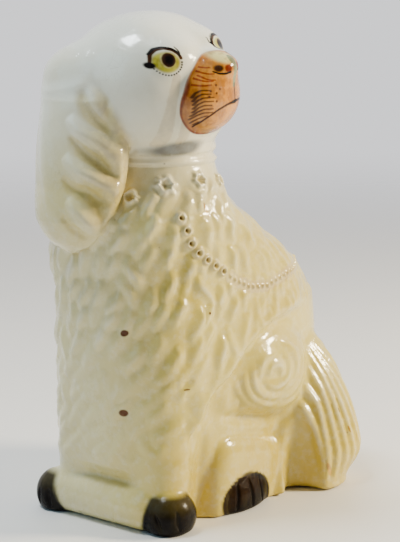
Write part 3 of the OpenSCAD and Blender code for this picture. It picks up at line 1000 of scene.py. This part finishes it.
def glaze(name, color, pool, thin, mottle=0.35, speckle=0.6, gloss=0.10, brush=0.04, coat=0.8):
    """Lead glaze, tinted where it pools and thin on the crests, mottled, crazed and specked with iron."""
    m, g, b = new_material(name)
    add, ramp, mix, calc = g.add, g.ramp, g.mix, g.calc
    place = add("TexCoord").outputs["Object"]
    noise = lambda *a: g.noise(place, *a)
    relief, painted = add("Attribute"), add("Attribute")
    relief.attribute_name, painted.attribute_name = "relief", "paint"
    relief, cover, paint = relief.outputs["Fac"], painted.outputs["Alpha"], painted.outputs["Color"]
    x, y, z = add("SeparateXYZ", Vector=place).outputs

    # the glaze: whiter up high and on crests, yellower below and in hollows; the chest side is painted
    # whiter, a painted light for the cool light that falls on that side
    grain = noise(210.0, 4.0)
    # painted light: the chest side is made whiter and kept from the lower yellow, as if lit by the cool
    # light
    front = ramp(calc("SUBTRACT", x, calc("MULTIPLY", y, 0.5)), -0.035, -0.095)
    white = calc("MAXIMUM", ramp(z, 0.16, 0.27, 0.0, 0.85), calc("MULTIPLY", front, 0.30))
    low = calc("MULTIPLY", ramp(z, 0.085, 0.025, 0.0, 0.6), calc("SUBTRACT", 1.0, front))
    base = mix(ramp(noise(26.0, 3.0), 0.38, 0.64, 0.0, mottle), color, pool)
    base = mix(low, mix(white, base, thin), pool)
    base = mix(ramp(relief, -0.2, -1.3, 0.0, 0.42), base, pool)
    base = mix(ramp(relief, 0.9, 2.6, 0.0, 0.45), base, thin)
    base = mix(ramp(grain, 0.45, 0.72, 0.0, 0.16), base, thin)

    # crazing and iron specks
    craze = add("TexVoronoi", Vector=place, Scale=240.0)
    craze.feature = "DISTANCE_TO_EDGE"
    cracks = ramp(craze.outputs["Distance"], 0.035, 0.0, 0.0, 0.22)
    base = mix(calc("MULTIPLY", cracks, ramp(noise(40.0), 0.45, 0.65)), base, CRAZE_COLOR)
    speck = add("TexVoronoi", Vector=place, Scale=85.0).outputs["Distance"]
    tiny = calc("MULTIPLY", ramp(speck, 0.075, 0.035), ramp(noise(9.0, 1.0), 0.60, 0.66, 0.0, speckle))
    base = mix(tiny, base, SPECK_COLOR)

    # brushed paint, worn in upright streaks
    stretch = add("Mapping", Vector=place)
    stretch.inputs["Scale"].default_value = (1.6, 1.6, 0.25)
    streaks = add("TexNoise", Vector=stretch.outputs["Vector"], Scale=150.0, Detail=3.0)
    wear = ramp(streaks.outputs["Fac"], 0.42, 0.68, 1.0, 1.0 - brush)
    brushed = mix(wear, NONE, paint)
    brushed = mix(ramp(noise(170.0, 2.0), 0.38, 0.62), mix(1.0, brushed, WORN_TINT, "MULTIPLY"), brushed)
    g.feed(b.inputs["Base Color"], mix(1.0, mix(calc("MULTIPLY", cover, wear), base, NONE), brushed, "ADD"))

    # gloss, which dark paint dulls
    shade = add("RGBToBW", Color=paint).outputs[0]
    dark = calc("SUBTRACT", cover, calc("MULTIPLY", shade, 6.0))
    g.feed(b.inputs["Roughness"], ramp(noise(60.0), 0.3, 0.7, gloss + 0.10, gloss + 0.24))
    g.feed(b.inputs["Coat Weight"], ramp(dark, 0.0, 0.9, coat, 0.2 * coat))
    g.feed(b.inputs["Specular IOR Level"], ramp(dark, 0.0, 0.9, 0.2, 0.06))
    g.feed(b.inputs["Coat Roughness"], ramp(noise(35.0), 0.35, 0.7, gloss * 0.4, gloss * 1.1))
    b.inputs["Coat IOR"].default_value = 1.55
    wave = add("Bump", Strength=0.35, Distance=0.0012, Height=noise(48.0, 2.0))
    fine = add("Bump", Strength=0.25, Distance=0.00025, Normal=wave.outputs["Normal"],
               Height=calc("SUBTRACT", grain, calc("MULTIPLY", cracks, 1.5)))
    for socket in ("Normal", "Coat Normal"):
        g.feed(b.inputs[socket], fine.outputs["Normal"])
    return m


CREAM_COLORS = dict(color=(0.66, 0.545, 0.135), pool=(0.56, 0.41, 0.035), thin=(0.88, 0.875, 0.78))
CHAIN_COLORS = dict(color=(0.66, 0.54, 0.20), pool=(0.38, 0.22, 0.03), thin=(0.80, 0.78, 0.62))
SLIP_COLORS = dict(color=(0.62, 0.52, 0.38), pool=(0.50, 0.38, 0.24), thin=(0.70, 0.62, 0.50))
SLIP = glaze("bare_slip_mat", **SLIP_COLORS, mottle=0.9, gloss=0.5)
MATERIALS = {
    "cream_glaze": glaze("cream_glaze_mat", **CREAM_COLORS),
    "trim_glaze": glaze("trim_glaze_mat", **{**CREAM_COLORS, "color": PALE}, mottle=0.3),
    "chain_glaze": glaze("chain_glaze_mat", **CHAIN_COLORS, mottle=0.4),
    "sponged_muzzle": glaze("sponged_muzzle_mat", **CREAM_COLORS, speckle=0.2, gloss=0.06, coat=0.5),
    "nose_glaze": glaze("nose_glaze_mat", **CREAM_COLORS, speckle=0.2, gloss=0.06, coat=0.5),
    "painted_paw": glaze("painted_paw_mat", **CREAM_COLORS, gloss=0.07, brush=0.01, coat=0.2),
}


def add_object(name, data):
    """Puts mesh, light or camera data into the scene."""
    ob = bpy.data.objects.new(name, data)
    bpy.context.scene.collection.objects.link(ob)
    return ob


def add_piece(name, part, slot, *nodes):
    """Turns a cut skin into a mesh that shows in place of the named CAD nodes."""
    me = bpy.data.meshes.new(name)
    v = (part.v + SHIFT) * MM
    me.vertices.add(len(v))
    me.vertices.foreach_set("co", v.astype(np.float32).ravel())
    me.loops.add(len(part.f) * 3)
    me.loops.foreach_set("vertex_index", part.f.astype(np.int32).ravel())
    me.polygons.add(len(part.f))
    me.polygons.foreach_set("loop_start", np.arange(0, len(part.f) * 3, 3, dtype=np.int32))
    me.update(calc_edges=True)
    me.validate()
    me.polygons.foreach_set("use_smooth", np.ones(len(me.polygons), bool))
    relief = me.attributes.new("relief", "FLOAT", "POINT")
    relief.data.foreach_set("value", part.data["relief"].astype(np.float32))
    paint = me.attributes.new("paint", "FLOAT_COLOR", "POINT")
    rgba = np.column_stack([part.data["color"], part.data["cover"]])
    paint.data.foreach_set("color", rgba.astype(np.float32).ravel())
    me.normals_split_custom_set_from_vertices(part.data["normal"].astype(np.float32))
    ob = add_object(name, me)
    me.materials.append(MATERIALS[slot])
    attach(ob, BODY)
    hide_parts(*nodes)


def take(part, names, name):
    """Cuts one named piece off a skin: where it is the closest shape."""
    c = names.index(name)
    d = part.data["dist"]
    others = np.delete(d, c, axis=1).min(1)
    return part.cut(d[:, c] - others)


# ---------------------------------------------------------------- pieces

body = build_body()
_, body = body.cut(COLLAR_LOW + 2.0 - body.v[:, 2])
for name, slot in (("locket", "trim_glaze"), ("chain", "chain_glaze")):
    got, body = body.cut(body.data[name])
    add_piece(name + "_skin", got, slot, name)
for name in BODY_NAMES[1:]:
    got, body = take(body, BODY_NAMES, name)
    add_piece(name + "_skin", got, "painted_paw" if name in FEET else "cream_glaze", name)
front, back = body.cut(body.v[:, 1] - at(SLICE_MID, body.v[:, 2]))
add_piece("body_front_skin", front, "cream_glaze", "body_front_shell")
add_piece("body_back_skin", back, "cream_glaze", "body_back_shell")

head = build_head()
off_ears = head.data["dist"][:, 3:].min(1)
_, head = head.cut(np.maximum(head.v[:, 2] - COLLAR_LOW, 1.5 - off_ears))
for name, slot in zip(HEAD_NAMES[1:], ("sponged_muzzle", "nose_glaze", "cream_glaze", "cream_glaze")):
    got, head = take(head, HEAD_NAMES, name)
    add_piece(name + "_skin", got, slot, name)
collar, head = head.cut(head.v[:, 2] - COLLAR_HIGH)
add_piece("collar_skin", collar, "trim_glaze", "collar")
face, back = head.cut(head_frame(head.v)[:, 1])
add_piece("head_face_skin", face, "cream_glaze", "head_face_shell")
add_piece("head_back_skin", back, "cream_glaze", "head_back_shell")

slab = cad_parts["base_slab"]
slab.data.materials.clear()
slab.data.materials.append(SLIP)

# ---------------------------------------------------------------- stage, light, camera

FLOOR_HALF, FLOOR_DROP = 3.0, -0.0002
FLOOR_COLOR, FLOOR_SHADE = (0.84, 0.81, 0.77), (0.81, 0.79, 0.76)
FADE_START, FADE_END = 0.45, 2.4           # the floor melts into the room over these distances

floor_mat, g, shader = new_material("floor_mat")
shader.inputs["Roughness"].default_value = 0.55
place = g.add("TexCoord").outputs["Object"]
fade = g.ramp(g.vector("LENGTH", place).outputs["Value"], FADE_START, FADE_END)
blend = g.add("MixShader")
for socket, value in zip(blend.inputs, (fade, shader.outputs[0], g.add("BsdfTransparent").outputs[0])):
    g.feed(socket, value)
g.feed(g.nodes["Material Output"].inputs["Surface"], blend.outputs[0])
cloth = g.add("TexNoise", Vector=place, Scale=9.0)
g.feed(shader.inputs["Base Color"], g.mix(cloth.outputs["Fac"], FLOOR_COLOR, FLOOR_SHADE))

me = bpy.data.meshes.new("floor")
corners = [(x * FLOOR_HALF, y * FLOOR_HALF, FLOOR_DROP) for x, y in ((-1, -1), (1, -1), (1, 1), (-1, 1))]
me.from_pydata(corners, [], [(0, 1, 2, 3)])
me.materials.append(floor_mat)
add_object("floor", me)

world = bpy.data.worlds.new("studio")
bpy.context.scene.world = world
world.use_nodes = True
g = Nodes(world.node_tree)
sky = g.nodes["Background"]
sky.inputs["Color"].default_value = (0.735, 0.74, 0.765, 1)
toward = g.vector("DOT_PRODUCT", g.add("TexCoord").outputs["Generated"])
toward.inputs[1].default_value = (0.766, 0.643, 0.0)       # the room is brightest beyond the figure
g.feed(sky.inputs["Strength"], g.ramp(toward.outputs["Value"], -0.30, 0.75, 0.13, 1.55))


def look_at(ob, place, target):
    ob.location = place
    ob.rotation_mode = "QUATERNION"
    ob.rotation_quaternion = (Vector(target) - Vector(place)).to_track_quat("-Z", "Y")


LIT_POINT = (0, 0, 0.15)
for name, place, size, power, color in (
        ("side_warm", (0.72, -0.85, 0.62), 0.24, 30, (1.0, 0.86, 0.60)),
        ("overhead", (-0.35, 0.22, 1.25), 0.30, 14, (0.90, 0.97, 1.0)),
        ("fill_cool", (-1.0, 0.35, 0.75), 0.8, 3.0, (0.33, 0.72, 1.0))):
    lamp = bpy.data.lights.new(name, "AREA")
    lamp.energy, lamp.color, lamp.size = power, color, size
    look_at(add_object(name, lamp), place, LIT_POINT)

AZ, EL, DIST = math.radians(-50), math.radians(10), 0.95
FOCAL, IMAGE_HEIGHT = 1536.6, 542         # in pixels
cam = bpy.data.cameras.new("camera")
cam.sensor_width = 36.0
cam.lens = FOCAL / IMAGE_HEIGHT * cam.sensor_width
cam.clip_start, cam.clip_end = 0.01, 50
cam_ob = add_object("camera", cam)
bpy.context.scene.camera = cam_ob
back_dir = Vector((math.sin(AZ) * math.cos(EL), -math.cos(AZ) * math.cos(EL), math.sin(EL)))
aim = Vector((*(SHIFT[:2] * MM), 0.1464))
look_at(cam_ob, aim + back_dir * DIST, aim)
